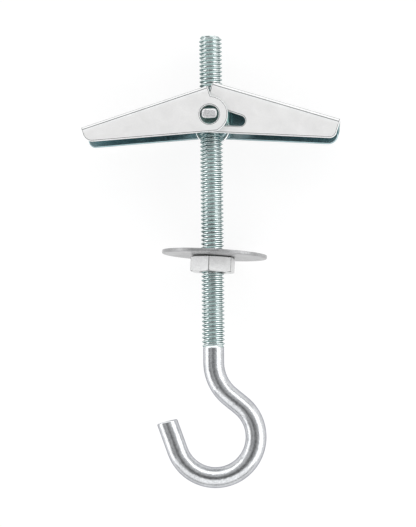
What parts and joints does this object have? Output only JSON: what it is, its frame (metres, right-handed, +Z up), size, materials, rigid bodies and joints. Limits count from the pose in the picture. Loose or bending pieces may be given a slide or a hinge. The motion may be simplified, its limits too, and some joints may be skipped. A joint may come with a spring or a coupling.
{
  "type": "spring toggle bolt with hook",
  "caption": "Spring toggle for hollow ceilings: threaded bolt with sheet-metal wings opened by a torsion spring, a broad washer, a hexagon nut and a bent open hook.",
  "frame": {"origin": "on the surface that the bolt lies on, under the middle of its bounding box", "axes": "+Z up from that surface, +Y from the hook towards the thread's end, +X towards the wing that touches the surface"},
  "size_m": [0.0448, 0.077, 0.0179],
  "materials": {
    "bright_zinc": "bright zinc plate over rolled steel wire",
    "pale_zinc": "pale satin zinc plate",
    "zinc": "satin zinc plate",
    "spring_steel": "drawn spring wire"
  },
  "bodies": {
    "hook_bolt": {"hook_bolt": "bright_zinc"},
    "toggle": {"pivot_nut": "zinc", "torsion_spring": "spring_steel"},
    "left_wing": {"left_wing": "pale_zinc"},
    "right_wing": {"right_wing": "pale_zinc"},
    "washer": {"washer": "zinc"},
    "hex_nut": {"hex_nut": "pale_zinc"}
  },
  "joints": [
    {"name": "toggle_travel", "type": "slide", "parent": "hook_bolt", "child": "toggle", "axis": [0, 0.9903, -0.1389], "range_m": [-0.0185, 0.011]},
    {"name": "left_wing_hinge", "type": "hinge", "parent": "toggle", "child": "left_wing", "pos_m": [0, 0.02427, 0.00567], "axis": [0.0442, 0.1387, 0.9893], "range_deg": [0, 78], "stiffness_Nm_per_rad": 0.018, "springref_deg": -45.84, "deforming": ["torsion_spring"]},
    {"name": "right_wing_hinge", "type": "hinge", "parent": "toggle", "child": "right_wing", "pos_m": [0, 0.02427, 0.00567], "axis": [-0.0442, -0.1387, -0.9893], "range_deg": [0, 78], "stiffness_Nm_per_rad": 0.018, "springref_deg": -45.84, "deforming": ["torsion_spring"]},
    {"name": "washer_travel", "type": "slide", "parent": "hook_bolt", "child": "washer", "axis": [0, 0.9903, -0.1389], "range_m": [0, 0.0112]},
    {"name": "nut_travel", "type": "slide", "parent": "hook_bolt", "child": "hex_nut", "axis": [0, 0.9903, -0.1389], "range_m": [-0.011, 0]}
  ]
}
